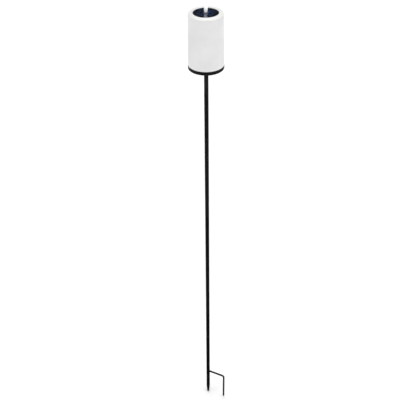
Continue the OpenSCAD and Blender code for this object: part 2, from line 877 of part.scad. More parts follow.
ground_spike();
prong();
prong_weld();
lower_pole();
lower_joint_plug();
middle_pole();
upper_joint_plug();
upper_pole();
stem_adaptor();
base_cap();
base_gasket();
base_screws();
battery_door();
door_screw();
battery();
battery_nub();
contact_spring();
contact_plates();
battery_leads();
main_board();
control_chip();
inductor();
capacitor();
board_screws();
switch_body();
switch_knob();
candle_shell();
panel_tray();
tray_screws();
solar_panel();
solar_cells();
panel_cover();
panel_seal();
flame_collar();
flame_diffuser();
flame_led();
led_leads();
led_board();
red_wire();
black_wire();
led_wires();
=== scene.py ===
"""Looks for the solar candle torch: materials, detailed pieces, light and camera round the CAD frame."""

import math

import bmesh
import bpy
from mathutils import Matrix, Vector


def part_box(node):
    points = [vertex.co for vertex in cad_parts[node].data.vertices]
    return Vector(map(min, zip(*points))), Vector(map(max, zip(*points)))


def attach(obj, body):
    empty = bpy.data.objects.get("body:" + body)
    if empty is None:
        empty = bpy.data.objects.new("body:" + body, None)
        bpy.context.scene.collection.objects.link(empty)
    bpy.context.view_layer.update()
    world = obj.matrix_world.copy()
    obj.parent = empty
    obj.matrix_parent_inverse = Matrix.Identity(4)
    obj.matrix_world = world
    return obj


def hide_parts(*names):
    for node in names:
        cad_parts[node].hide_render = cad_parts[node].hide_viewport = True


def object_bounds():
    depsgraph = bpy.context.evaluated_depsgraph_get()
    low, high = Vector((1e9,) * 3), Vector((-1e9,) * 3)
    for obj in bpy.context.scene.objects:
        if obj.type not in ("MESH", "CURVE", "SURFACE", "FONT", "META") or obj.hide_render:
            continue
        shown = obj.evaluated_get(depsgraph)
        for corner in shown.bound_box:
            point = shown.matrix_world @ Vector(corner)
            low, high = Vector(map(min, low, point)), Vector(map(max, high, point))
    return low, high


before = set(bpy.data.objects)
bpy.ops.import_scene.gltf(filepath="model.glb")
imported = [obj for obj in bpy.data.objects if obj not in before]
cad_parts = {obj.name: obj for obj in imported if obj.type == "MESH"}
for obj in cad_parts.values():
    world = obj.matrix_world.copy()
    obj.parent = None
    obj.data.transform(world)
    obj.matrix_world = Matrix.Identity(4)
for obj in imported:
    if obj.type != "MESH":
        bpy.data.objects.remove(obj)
cad_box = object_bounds()

MM = 0.001
X, Z = Vector((1, 0, 0)), Vector((0, 0, 1))


# ---- camera, floor and light ----

CAMERA_AZIMUTH = 25.7      # degrees round the pole, 0 looks along +Y
CAMERA_PITCH = 37.0        # degrees below the horizon
CAMERA_DISTANCE = 1.774    # from the point that it looks at
CAMERA_ROLL = -0.8
CAMERA_CLIP = (0.05, 60)
CAMERA_LENS = 64.5
SENSOR = 36.0
AIM_HEIGHT = 0.648         # of that point, on the pole
AIM_SIDE = -0.0174         # how far it lies to the right of the pole
FLOOR_HALF = 14.0          # half the floor's width, in metres
BACKDROP = 1.0             # how bright the studio looks behind the floor
AMBIENT = 0.06             # how much light comes from all round
LIGHTS = (                 # azimuth, pitch and spread in degrees, and strength
    ("top_light", -60, 88, 70, 2.4),
    ("left_light", -35, 25, 60, 1.05),
    ("right_light", 85, 25, 60, 1.3),
)


def heading(azimuth, pitch):
    """The direction from the object towards a camera at that azimuth and pitch, in degrees."""
    a, p = math.radians(azimuth), math.radians(pitch)
    return Vector((math.sin(a) * math.cos(p), -math.cos(a) * math.cos(p), math.sin(p)))


def link_object(name, data):
    obj = bpy.data.objects.new(name, data)
    bpy.context.scene.collection.objects.link(obj)
    return obj


def make_camera():
    data = bpy.data.cameras.new("camera")
    data.lens, data.sensor_width = CAMERA_LENS, SENSOR
    data.clip_start, data.clip_end = CAMERA_CLIP
    cam = link_object("camera", data)
    back = heading(CAMERA_AZIMUTH, CAMERA_PITCH)
    right = heading(CAMERA_AZIMUTH + 90, 0)
    cam.location = right * AIM_SIDE + Z * AIM_HEIGHT + back * CAMERA_DISTANCE
    cam.rotation_mode = "QUATERNION"
    roll = Matrix.Rotation(math.radians(CAMERA_ROLL), 4, "Z").to_quaternion()
    cam.rotation_quaternion = (-back).to_track_quat("-Z", "Y") @ roll
    bpy.context.scene.camera = cam


def soft_sun(name, azimuth, pitch, spread_degrees, strength):
    """A broad soft light from that side, as even over the whole floor as a wall of studio lamps."""
    data = bpy.data.lights.new(name, "SUN")
    data.angle, data.energy = math.radians(spread_degrees), strength
    lamp = link_object(name, data)
    lamp.rotation_mode = "QUATERNION"
    lamp.rotation_quaternion = (-heading(azimuth, pitch)).to_track_quat("-Z", "Y")


def make_studio():
    """A bright backdrop that lights the object only a little, and the lights."""
    world = bpy.data.worlds.new("studio")
    bpy.context.scene.world = world
    world.use_nodes = True
    nodes, link = world.node_tree.nodes, world.node_tree.links.new
    backdrop = nodes["Background"]
    backdrop.inputs["Color"].default_value = (1, 1, 1, 1)
    backdrop.inputs["Strength"].default_value = BACKDROP
    ambient = nodes.new("ShaderNodeBackground")
    ambient.inputs["Strength"].default_value = AMBIENT
    pick = nodes.new("ShaderNodeMixShader")
    link(nodes.new("ShaderNodeLightPath").outputs["Is Camera Ray"], pick.inputs[0])
    link(ambient.outputs[0], pick.inputs[1])
    link(backdrop.outputs[0], pick.inputs[2])
    link(pick.outputs[0], nodes["World Output"].inputs["Surface"])
    for light in LIGHTS:
        soft_sun(*light)
    bpy.context.scene.view_settings.view_transform = "Standard"


def make_floor():
    low = cad_box[0].z
    mesh = bpy.data.meshes.new("floor")
    corners = [(-1, -1), (1, -1), (1, 1), (-1, 1)]
    mesh.from_pydata([(FLOOR_HALF * x, FLOOR_HALF * y, low) for x, y in corners], [], [(0, 1, 2, 3)])
    mesh.materials.append(floor_finish())
    link_object("floor", mesh)


# ---- material helpers ----

SOCKETS = {                # short names for the Principled shader's sockets
    "color": "Base Color",
    "rough": "Roughness",
    "metal": "Metallic",
    "specular": "Specular IOR Level",
    "ior": "IOR",
    "coat": "Coat Weight",
    "coat_rough": "Coat Roughness",
    "sub": "Subsurface Weight",
    "sub_scale": "Subsurface Scale",
    "sub_radius": "Subsurface Radius",
    "clear": "Transmission Weight",
    "sheen": "Sheen Weight",
    "glow": "Emission Strength",
}


def new_material(name, **values):
    """A material with one Principled shader, whose constant values are set on its own sockets."""
    mat = bpy.data.materials.new(name)
    mat.use_nodes = True
    for key, value in values.items():
        shader(mat).inputs[SOCKETS[key]].default_value = (*value, 1) if key == "color" else value
    return mat


def shader(mat):
    return mat.node_tree.nodes["Principled BSDF"]


def node(mat, kind, inputs=None, **settings):
    """A node of that kind. inputs maps a socket's name or number to a value or to another node's output."""
    made = mat.node_tree.nodes.new(kind)
    for key, value in settings.items():
        setattr(made, key, value)
    for key, value in (inputs or {}).items():
        if isinstance(value, bpy.types.NodeSocket):
            mat.node_tree.links.new(value, made.inputs[key])
        else:
            made.inputs[key].default_value = value
    return made


def drive(mat, key, output):
    """Links another node's output to the shader's socket of that short or full name."""
    mat.node_tree.links.new(output, shader(mat).inputs[SOCKETS.get(key, key)])


def place(mat, stretch=(1, 1, 1)):
    """Object coordinates in metres, stretched by those factors."""
    where = node(mat, "ShaderNodeTexCoord").outputs["Object"]
    return node(mat, "ShaderNodeMapping", {"Vector": where, "Scale": stretch}).outputs[0]


def noise(mat, scale, detail=3.0, roughness=0.55, stretch=(1, 1, 1)):
    inputs = {"Vector": place(mat, stretch), "Scale": scale, "Detail": detail, "Roughness": roughness}
    return node(mat, "ShaderNodeTexNoise", inputs).outputs[0]


def voronoi(mat, scale, output, stretch=(1, 1, 1), distance="EUCLIDEAN"):
    inputs = {"Vector": place(mat, stretch), "Scale": scale}
    return node(mat, "ShaderNodeTexVoronoi", inputs, distance=distance).outputs[output]


def axis_of(mat, letter):
    """One object coordinate, in metres."""
    return node(mat, "ShaderNodeSeparateXYZ", {0: place(mat)}).outputs[letter]


def math_node(mat, operation, a, b=0.0):
    return node(mat, "ShaderNodeMath", {0: a, 1: b}, operation=operation).outputs[0]


def spread(mat, value, low, high, to_low=0.0, to_high=1.0):
    """value between low and high, as a number between to_low and to_high."""
    inputs = {"Value": value, "From Min": low, "From Max": high, "To Min": to_low, "To Max": to_high}
    return node(mat, "ShaderNodeMapRange", inputs, clamp=True).outputs[0]


def tint(mat, factor, low, high):
    """A colour between low, which may already be another node's colour, and high."""
    start = low if isinstance(low, bpy.types.NodeSocket) else (*low, 1)
    inputs = {"Factor": factor, "A": start, "B": (*high, 1)}
    return node(mat, "ShaderNodeMix", inputs, data_type="RGBA").outputs["Result"]


def bump(mat, height, distance, strength=1.0, over=None):
    """A normal raised by height. over is the normal that it goes on top of."""
    inputs = {"Height": height, "Distance": distance, "Strength": strength}
    if over is not None:
        inputs["Normal"] = over
    return node(mat, "ShaderNodeBump", inputs).outputs[0]


def grain(mat, scale, depth, rough_low, rough_high, over=None):
    """A fine moulded or painted grain: bump, and a roughness that varies with it."""
    fine = noise(mat, scale, 4)
    normal = bump(mat, fine, depth, over=over)
    drive(mat, "Normal", normal)
    patches = noise(mat, scale / 9, 3)
    drive(mat, "rough", spread(mat, patches, 0.3, 0.7, rough_low, rough_high))
    return normal


# ---- materials ----

BARE_STEEL = (0.12, 0.117, 0.114)


def floor_finish():
    """Plain white board, a little uneven."""
    mat = new_material("studio_floor", rough=0.85)
    drive(mat, "color", tint(mat, noise(mat, 3, 2), (0.965, 0.965, 0.965), (0.98, 0.98, 0.98)))
    return mat


def frosted_shell():
    """Thick frosted plastic made to look like wax: cloudy, with a soft glow just under the surface."""
    mat = new_material("frosted_shell", rough=0.5, sub=0.3, sub_scale=4 * MM, sub_radius=(1.0, 0.95, 0.9),
                       specular=0.4, ior=1.46)
    cloud = spread(mat, noise(mat, 28, 4), 0.3, 0.7)
    drive(mat, "color", tint(mat, cloud, (0.785, 0.785, 0.78), (0.835, 0.835, 0.83)))
    flow = bump(mat, noise(mat, 55, 2, stretch=(1, 1, 0.45)), 0.22 * MM, 0.7)
    grain(mat, 1500, 0.03 * MM, 0.42, 0.58, over=flow)
    return mat


def shades(tone, share):
    """Two greys, darker and lighter than tone by that share of it."""
    return (tone * (1 - share),) * 3, (tone * (1 + share),) * 3


def worn_edges(mat, heights):
    """1 in ragged patches on the edges at those heights, and 0 elsewhere."""
    nearest = None
    for height in heights:
        away = math_node(mat, "ABSOLUTE", math_node(mat, "SUBTRACT", axis_of(mat, "Z"), height))
        near = spread(mat, away, 0.1 * MM, 0.6 * MM, 1, 0)
        nearest = near if nearest is None else math_node(mat, "MAXIMUM", nearest, near)
    patches = spread(mat, noise(mat, 1300, 4), 0.5, 0.62)
    return math_node(mat, "MULTIPLY", nearest, patches)


def powder_coat(name, ends=(), tone=0.001, gloss=0.01):
    """Satin black powder coat with a fine orange peel, worn to bare steel on the ends at those heights."""
    mat = new_material(name, rough=0.4, specular=gloss)
    color = tint(mat, spread(mat, noise(mat, 140, 4), 0.35, 0.65), *shades(tone, 0.4))
    if ends:
        bare = worn_edges(mat, ends)
        color = tint(mat, bare, color, BARE_STEEL)
        drive(mat, "metal", bare)
    drive(mat, "color", color)
    grain(mat, 1700, 0.02 * MM, 0.34, 0.5)
    return mat


def moulded_black(name, depth=0.02 * MM, tone=0.005):
    """Black ABS with a fine spark-eroded texture."""
    mat = new_material(name, rough=0.5, specular=0.08)
    shade = spread(mat, noise(mat, 90, 4), 0.3, 0.7)
    drive(mat, "color", tint(mat, shade, *shades(tone, 0.3)))
    grain(mat, 2600, depth, 0.42, 0.6)
    return mat


def rubber(name):
    """Matt black rubber with a dusty sheen."""
    mat = new_material(name, rough=0.75, sheen=0.15, specular=0.3)
    drive(mat, "color", tint(mat, noise(mat, 400, 4), (0.012, 0.012, 0.012), (0.022, 0.022, 0.022)))
    grain(mat, 3000, 0.03 * MM, 0.65, 0.85)
    return mat


def wire_skin(name, color):
    """Soft PVC insulation, a little darker where it has been handled."""
    mat = new_material(name, rough=0.4, specular=0.5)
    dark = tuple(0.6 * c for c in color)
    drive(mat, "color", tint(mat, spread(mat, noise(mat, 220, 4), 0.3, 0.6), dark, color))
    grain(mat, 2500, 0.02 * MM, 0.34, 0.5)
    return mat


def bright_metal(name, color, rough_low, rough_high, stretch=(1, 1, 1)):
    """Bare or plated metal with drawn or turned marks along the squeezed directions."""
    mat = new_material(name, metal=1.0, rough=0.3)
    marks = noise(mat, 700, 5, stretch=stretch)
    dull = tuple(0.75 * c for c in color)
    drive(mat, "color", tint(mat, spread(mat, noise(mat, 160, 4), 0.35, 0.65), dull, color))
    drive(mat, "rough", spread(mat, marks, 0.3, 0.7, rough_low, rough_high))
    drive(mat, "Normal", bump(mat, marks, 0.01 * MM, 0.6))
    return mat


def panel_black():
    """The panel's glossy black face, which shows as a border round the cells."""
    mat = new_material("panel_face", rough=0.25, specular=0.2)
    drive(mat, "color", tint(mat, noise(mat, 260, 4), (0.002, 0.002, 0.003), (0.005, 0.005, 0.008)))
    grain(mat, 1400, 0.01 * MM, 0.2, 0.34)
    return mat


def silicon():
    """Dark blue silicon with crystal grains."""
    mat = new_material("silicon", rough=0.28, specular=0.2)
    crystals = voronoi(mat, 420, "Color", stretch=(1, 0.6, 1))
    shade = node(mat, "ShaderNodeSeparateColor", {0: crystals}).outputs[0]
    drive(mat, "color", tint(mat, shade, (0.0025, 0.011, 0.04), (0.007, 0.026, 0.08)))
    drive(mat, "rough", spread(mat, shade, 0, 1, 0.2, 0.36))
    drive(mat, "Normal", bump(mat, shade, 0.01 * MM))
    return mat


def silver_print():
    """Screen-printed silver paste: dull and a little grainy."""
    mat = new_material("silver_print", metal=0.6, rough=0.5, specular=0.2)
    drive(mat, "color", tint(mat, noise(mat, 3000, 3), (0.028, 0.04, 0.068), (0.055, 0.075, 0.11)))
    grain(mat, 6000, 0.003 * MM, 0.42, 0.6)
    return mat


def clear_resin():
    """The panel's poured resin cover: clear, with faint ripples."""
    mat = new_material("clear_resin", color=(0.78, 0.88, 1.0), rough=0.03, clear=1.0, ior=1.3)
    drive(mat, "Normal", bump(mat, noise(mat, 160, 2), 0.03 * MM, 0.5))
    drive(mat, "rough", spread(mat, noise(mat, 500, 3), 0.4, 0.7, 0.015, 0.05))
    return mat


def smoked_plastic():
    """The flame collar's clear plastic, tinted grey."""
    mat = new_material("smoked_plastic", rough=0.2, sub=0.1, sub_scale=1 * MM, coat=0.3, coat_rough=0.1)
    drive(mat, "color", tint(mat, noise(mat, 600, 3), (0.16, 0.16, 0.17), (0.22, 0.22, 0.23)))
    grain(mat, 2200, 0.01 * MM, 0.16, 0.3)
    return mat


def flame_white():
    """The flame's translucent white plastic, a little cloudy and satin outside, with a faint painted glow
    that brightens it.
    """
    # glow is painted light: a faint emission that makes the unlit flame look brighter
    mat = new_material("flame_white", rough=0.4, sub=0.4, sub_scale=2 * MM, sub_radius=(1.0, 0.95, 0.85),
                       coat=0.15, coat_rough=0.2, glow=0.22)
    cloud = spread(mat, noise(mat, 300, 3), 0.3, 0.7)
    drive(mat, "color", tint(mat, cloud, (0.88, 0.88, 0.88), (0.94, 0.94, 0.935)))
    grain(mat, 1900, 0.02 * MM, 0.32, 0.48)
    return mat


def led_epoxy():
    """An amber LED's cast lens."""
    mat = new_material("led_epoxy", rough=0.12, sub=0.5, sub_scale=1 * MM, coat=0.5, coat_rough=0.05)
    drive(mat, "color", tint(mat, noise(mat, 500, 3), (0.7, 0.42, 0.12), (0.85, 0.6, 0.25)))
    grain(mat, 2000, 0.005 * MM, 0.08, 0.18)
    return mat


def circuit_green():
    """Solder mask over copper tracks that turn square corners, with the weave of the board just showing."""
    mat = new_material("circuit_green", rough=0.3, coat=0.4, coat_rough=0.12)
    squares = voronoi(mat, 190, "Distance", distance="CHEBYCHEV")
    lit = spread(mat, math_node(mat, "PINGPONG", squares, 0.14), 0.09, 0.11)
    color = tint(mat, noise(mat, 900, 2, stretch=(1, 1, 3)), (0.008, 0.07, 0.03), (0.014, 0.1, 0.045))
    drive(mat, "color", tint(mat, lit, color, (0.03, 0.19, 0.08)))
    drive(mat, "Normal", bump(mat, lit, 0.03 * MM))
    drive(mat, "rough", spread(mat, noise(mat, 700, 3), 0.3, 0.7, 0.24, 0.4))
    return mat


def battery_skin(positive_end):
    """Shrink wrap in two plain tones, split near the positive end, with a seam's faint ridge."""
    mat = new_material("battery_skin", rough=0.28, coat=0.5, coat_rough=0.1)
    cap = spread(mat, axis_of(mat, "X"), positive_end - 12.2 * MM, positive_end - 12 * MM)
    body = tint(mat, noise(mat, 150, 3), (0.02, 0.11, 0.05), (0.028, 0.15, 0.07))
    drive(mat, "color", tint(mat, cap, body, (0.42, 0.3, 0.14)))
    across_seam = math_node(mat, "ABSOLUTE", axis_of(mat, "Z"))
    seam = bump(mat, spread(mat, across_seam, 0, 0.4 * MM, 1, 0), 0.1 * MM)
    grain(mat, 1200, 0.01 * MM, 0.2, 0.36, over=seam)
    return mat


def moulded(name, low, high, rough_low=0.4, rough_high=0.6):
    """Any other small moulded or sleeved part."""
    mat = new_material(name, rough=0.5)
    drive(mat, "color", tint(mat, spread(mat, noise(mat, 350, 4), 0.3, 0.7), low, high))
    grain(mat, 2400, 0.02 * MM, rough_low, rough_high)
    return mat


# ---- shapes for the detailed pieces ----

def across(along):
    """Two unit directions square to that one and to each other."""
    side = along.orthogonal().normalized()
    return side, along.cross(side)


def band(bm, low, high):
    """Quads between two closed rows of vertices."""
    for k, vert in enumerate(low):
        n = (k + 1) % len(low)
        bm.faces.new((vert, low[n], high[n], high[k]))


def skin(bm, rings):
    """Quads between rings of points, one after another, and a flat cap at each end."""
    rows = [[bm.verts.new(p) for p in points] for points in rings]
    for low, high in zip(rows, rows[1:]):
        band(bm, low, high)
    bm.faces.new(reversed(rows[0]))
    bm.faces.new(rows[-1])


def ring(centre, along, radius, sides):
    """Points round a centre. radius is a number, or a function of the angle."""
    u, v = across(along)
    points = []
    for k in range(sides):
        a = math.tau * k / sides
        r = radius(a) if callable(radius) else radius
        points.append(centre + r * (math.cos(a) * u + math.sin(a) * v))
    return points


def lathe(bm, profile, foot, along=Z, sides=40):
    """A closed solid turned from (radius, height) points, in millimetres, about a line through foot."""
    skin(bm, [ring(foot + h * MM * along, along, r * MM, sides) for r, h in profile])


def arc(centre, radius, start, end, steps=6):
    """(radius, height) points on an arc, with its angles in degrees."""
    turns = [math.radians(start + (end - start) * k / steps) for k in range(steps + 1)]
    return [(centre[0] + radius * math.cos(a), centre[1] + radius * math.sin(a)) for a in turns]


def slab(bm, centre, size, soften=0.0):
    """A box of that size, in metres, with its edges rounded off by soften."""
    made = bmesh.ops.create_cube(bm, size=1)["verts"]
    for vert in made:
        vert.co = centre + Vector([c * s for c, s in zip(vert.co, size)])
    if soften:
        edges = {e for vert in made for e in vert.link_edges}
        bmesh.ops.bevel(bm, geom=list(edges), offset=soften, segments=2, affect="EDGES")


def strip(bm, path, width, thickness, side):
    """A flat ribbon along a path, with side the direction of its width."""
    rings = []
    for k, point in enumerate(path):
        along = (path[min(k + 1, len(path) - 1)] - path[max(k - 1, 0)]).normalized()
        up = along.cross(side).normalized() * thickness / 2
        out = side * width / 2
        rings.append([point + out + up, point - out + up, point - out - up, point + out - up])
    skin(bm, rings)


def as_mesh(bm, name):
    mesh = bpy.data.meshes.new(name)
    bm.to_mesh(mesh)
    bm.free()
    return mesh


def applied(obj):
    """The object's shape as a bmesh, with its bevel or modifiers applied."""
    mesh = bpy.data.meshes.new_from_object(obj.evaluated_get(bpy.context.evaluated_depsgraph_get()))
    bm = bmesh.new()
    bm.from_mesh(mesh)
    bpy.data.meshes.remove(mesh)
    return bm


def carved(bm, cutter):
    """The solid with the cutter taken out of it."""
    for solid in (bm, cutter):
        bmesh.ops.recalc_face_normals(solid, faces=solid.faces)
    body = link_object("carve_body", as_mesh(bm, "carve_body"))
    tool = link_object("carve_tool", as_mesh(cutter, "carve_tool"))
    cut = body.modifiers.new("cut", "BOOLEAN")
    cut.operation, cut.object, cut.solver = "DIFFERENCE", tool, "EXACT"
    result = applied(body)
    for obj in (body, tool):
        mesh = obj.data
        bpy.data.objects.remove(obj)
        bpy.data.meshes.remove(mesh)
    return result


def add_piece(name, bm, mat, body, replaces=(), sharp=38):
    """The mesh as a piece that rides on a body, smooth except at edges sharper than that many degrees."""
    bmesh.ops.recalc_face_normals(bm, faces=bm.faces)
    mesh = as_mesh(bm, name)
    mesh.shade_smooth()
    mesh.set_sharp_from_angle(angle=math.radians(sharp))
    mesh.materials.append(mat)
    made = link_object(name, mesh)
    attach(made, body)
    if replaces:
        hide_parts(*replaces)


# ---- detailed pieces ----

def middle(name):
    """The middle of a CAD node's box."""
    low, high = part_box(name)
    return (low + high) / 2


def position(xy, z):
    """A point from millimetres across and metres up."""
    return Vector((xy[0] * MM, xy[1] * MM, z))


def round_the_pole(radius, angles, height):
    """Points at that radius from the pole's axis and that height, at those angles in degrees."""
    return [Matrix.Rotation(math.radians(a), 3, "Z") @ X * radius + Z * height for a in angles]


def radius_of(name):
    """A round part's radius, from its box across the Y axis."""
    low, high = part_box(name)
    return (high.y - low.y) / 2


def weld_bead(mat):
    """The fillet that joins the crossbar to the pole: a bead with a ripple for each step of the weld."""
    ripples, steps, rise = 22, 198, 8
    ripple_h, sunk = 0.13 * MM, 0.05 * MM
    pole_r, wire_r = radius_of("lower_pole"), radius_of("prong")
    low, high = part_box("prong_weld")
    centre_z = (low.z + high.z) / 2
    reach = high.x - pole_r
    spread_out = (high.z - low.z) / 2 - wire_r
    bm = bmesh.new()
    rows = []
    for k in range(steps):
        a = math.tau * k / steps
        out = Vector((0, math.cos(a), math.sin(a)))
        ripple = abs(math.sin(ripples * a / 2)) ** 0.6
        row = []
        for j in range(rise + 1):
            t = j / rise
            bead_r = wire_r - sunk + spread_out * (1 - math.sin(math.pi / 2 * t))
            bead_r += ripple_h * ripple * math.sin(math.pi * t)
            y = bead_r * out.y
            on_pole = math.sqrt(pole_r ** 2 - min(abs(y), pole_r) ** 2)
            x = on_pole - sunk + (reach + sunk) * (1 - math.cos(math.pi / 2 * t))
            row.append(bm.verts.new((x, y, centre_z + bead_r * out.z)))
        rows.append(row)
    rings = [list(verts) for verts in zip(*rows)]
    for low_ring, high_ring in zip(rings, rings[1:] + rings[:1]):
        band(bm, low_ring, high_ring)
    add_piece("weld_bead", bm, mat, "stake", ("prong_weld",), sharp=70)


CROSS_POINTS = [(1, 0.22), (0.22, 0.22), (0.22, 1)]     # a quarter of a cross recess's outline


def cross_cutter(length):
    """A tapered cross of that half length, in metres, pointing down from a little above z = 0."""
    bm = bmesh.new()
    quarter = [Vector((x, y, 0)) for x, y in CROSS_POINTS]
    outline = [Matrix.Rotation(math.tau * q / 4, 3, "Z") @ p for q in range(4) for p in quarter]
    lift, depth = 0.3 * length, 0.75 * length
    mouth = [p * length * 1.1 + Z * lift for p in outline]
    foot = [p * length * 0.45 - Z * depth for p in outline]
    skin(bm, [mouth, foot])
    return bm


def threaded_rings(shank_r, length, pitch):
    """Rings down a screw's shank from z = 0 to its narrow tip, with its thread winding round them."""
    core, tip, steps_per_turn = shank_r * 0.76, 1.4 * shank_r, 7
    steps = round(length / pitch * steps_per_turn)
    rings = []
    for k in range(steps + 1):
        depth = length * k / steps
        narrow = min(1, 0.25 + 0.75 * (length - depth) / tip)

        def radius(a, depth=depth, narrow=narrow):
            phase = (depth / pitch - a / math.tau) % 1
            ridge = max(0.0, 1 - abs(phase - 0.5) / 0.32)
            return (core + (shank_r - core) * ridge) * narrow * MM
        rings.append(ring(-Z * depth * MM, Z, radius, 20))
    return rings


def screw_mesh(head_r, head_h, shank_r, length, pitch):
    """A pan-head screw, its sizes in millimetres: seat at z = 0, head above and thread below."""
    crown = head_h * 0.55
    dome = [(head_r * math.cos(a), head_h - crown + crown * math.sin(a))
            for a in (math.pi / 2 * k / 7 for k in range(7))]
    head = bmesh.new()
    lathe(head, [(head_r * 0.96, 0), (head_r, 0.08)] + dome + [(head_r * 0.1, head_h)], Vector(), sides=36)
    cutter = cross_cutter(head_r * 0.62 * MM)
    bmesh.ops.translate(cutter, verts=cutter.verts, vec=Z * head_h * MM)
    bm = carved(head, cutter)
    skin(bm, threaded_rings(shank_r, length, pitch)[::-1])
    return as_mesh(bm, "screw")


def set_of_screws(name, mat, body, node_name, places, head_down, sizes):
    """One piece for a group of like screws. sizes are the arguments of screw_mesh."""
    template = screw_mesh(*sizes)
    bm = bmesh.new()
    for k, place_at in enumerate(places):
        first = len(bm.verts)
        bm.from_mesh(template)
        bm.verts.ensure_lookup_table()
        flip = Matrix.Rotation(math.pi, 4, "X") if head_down else Matrix.Identity(4)
        turn = Matrix.Rotation(0.7 * k + 0.3, 4, "Z")
        bmesh.ops.transform(bm, matrix=Matrix.Translation(place_at) @ flip @ turn, verts=bm.verts[first:])
    bpy.data.meshes.remove(template)
    add_piece(name, bm, mat, body, (node_name,), sharp=32)


# in millimetres: head radius and height, shank radius and length, thread pitch
BASE_SCREW = (2.6, 1.9, 1.45, 13.0, 1.3)
# the smaller screws' head radius and height and shank radius; their lengths come from the frame
SMALL_HEAD = (1.9, 1.2, 0.85)
SMALL_PITCH = 0.7


def small_screw(length):
    """The sizes of a small screw whose shank has that length in metres."""
    return (*SMALL_HEAD, length / MM, SMALL_PITCH)


def screws(mat):
    """The base, door, board and tray screws, each set at the seats of its CAD node."""
    low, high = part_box("base_screws")
    radius = high.y - BASE_SCREW[0] * MM
    seat = low.z + BASE_SCREW[1] * MM
    places = round_the_pole(radius, (90, 210, 330), seat)
    set_of_screws("base_screw_set", mat, "candle_head", "base_screws", places, True, BASE_SCREW)

    low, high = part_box("door_screw")
    seat = low.z + SMALL_HEAD[1] * MM
    centre = middle("door_screw")
    places = [Vector((centre.x, centre.y, seat))]
    set_of_screws("door_captive_screw", mat, "battery_door", "door_screw", places, True,
                  small_screw(high.z - seat))

    low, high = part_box("board_screws")
    seat = high.z - SMALL_HEAD[1] * MM
    inset = SMALL_HEAD[0] * MM
    places = [Vector((x, middle("board_screws").y, seat)) for x in (low.x + inset, high.x - inset)]
    set_of_screws("board_screw_set", mat, "candle_head", "board_screws", places, False,
                  small_screw(seat - low.z))

    low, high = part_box("tray_screws")
    seat = low.z + SMALL_HEAD[1] * MM
    radius = -low.y - inset
    places = round_the_pole(radius, (30, 150, 270), seat)
    set_of_screws("tray_screw_set", mat, "candle_head", "tray_screws", places, True,
                  small_screw(high.z - seat))


WIRE_OUTER = 1.1 * MM                # diameters
WIRE_CORE = 0.5 * MM
STRIPPED = 0.02                      # the bare share of a wire's length at each end
PAD_GAP = 0.14 * MM                  # between a wire's end and its pad
HANG, RISE = 40 * MM, 45 * MM        # from a hanging wire's top down, and its foot up, to its handles
PANEL_WIRE_AT = (10, 2.5)            # where the wires meet the panel's back, in millimetres
RED_PAD, BLACK_PAD = (14, -22), (10.5, -23.5)         # and the board, likewise
LED_WIRES = (                        # top, pad and sideways slack of each, in millimetres
    ((-4, 2), (-8, -12.5), 7),
    ((-4, -3), (-6.5, -23.5), -6),
)
BATTERY_TABS = (-23.3, 24.9)         # where the contacts' tabs stand along X, in millimetres
BATTERY_PADS = ((-16.5, -17), (16.5, -17))


def board_top():
    """The height of the main board's face."""
    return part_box("main_board")[1].z


def bezier_wire(name, ends, handles, radius, mat, replaces=(), bare=0.0):
    """A round wire in the head along one Bezier span, short of each end by the bare share of its length."""
    data = bpy.data.curves.new("wire_path", "CURVE")
    data.dimensions = "3D"
    data.bevel_depth, data.bevel_resolution = radius, 4
    data.resolution_u, data.use_fill_caps = 40, True
    data.bevel_factor_start, data.bevel_factor_end = bare, 1 - bare
    spline = data.splines.new("BEZIER")
    spline.bezier_points.add(1)
    for knot, point, handle in zip(spline.bezier_points, ends, handles):
        knot.handle_left_type = knot.handle_right_type = "FREE"
        knot.co = point
        knot.handle_left = knot.handle_right = handle
    path = link_object("wire_path", data)
    bm = applied(path)
    bpy.data.objects.remove(path)
    bpy.data.curves.remove(data)
    bmesh.ops.remove_doubles(bm, verts=bm.verts, dist=0.0001 * MM)
    add_piece(name, bm, mat, "candle_head", replaces)


def insulated_wire(name, ends, handles, skin_mat, metal, replaces=()):
    """PVC insulation, stripped at both ends where the tinned core shows."""
    bezier_wire(name, ends, handles, WIRE_OUTER / 2, skin_mat, replaces, STRIPPED)
    bezier_wire(name + "_core", ends, handles, WIRE_CORE / 2, metal)


def hanging_wires(metal, red, black, yellow):
    """The wires that hang from the panel and the LED down to the main board."""
    panel_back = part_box("solar_panel")[0].z
    led_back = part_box("led_board")[0].z
    x, y = PANEL_WIRE_AT
    runs = [("red_lead", (x, y), RED_PAD, 3, panel_back, red, "red_wire", ("red_wire",)),
            ("black_lead", (x, -y), BLACK_PAD, -5, panel_back, black, "black_wire", ("black_wire",))]
    for k, (top, pad, slack) in enumerate(LED_WIRES):
        replaced = () if k else ("led_wires",)
        runs.append((f"led_lead_{k + 1}", top, pad, slack, led_back, yellow, "yellow_wire", replaced))
    for name, top, pad, slack, top_z, mat, slot, replaced in runs:
        ends = position(top, top_z - PAD_GAP), position(pad, board_top() + PAD_GAP)
        handles = ends[0] - position((slack, 0), HANG), ends[1] + position((slack, 4), RISE)
        insulated_wire(name, ends, handles, mat, metal, replaced)


def battery_wires(metal, red):
    """The leads from the battery contacts' tabs over to the main board."""
    tab_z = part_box("contact_plates")[1].z + 0.6 * MM
    tab_y = middle("contact_plates").y / MM
    for k, (tab_x, pad) in enumerate(zip(BATTERY_TABS, BATTERY_PADS)):
        ends = position((tab_x, tab_y), tab_z), position(pad, board_top() + PAD_GAP)
        handles = ends[0] + position((0, -4), 8 * MM), ends[1] + position((0, 2), 14 * MM)
        insulated_wire(f"battery_lead_{k + 1}", ends, handles, red, metal,
                       () if k else ("battery_leads",))


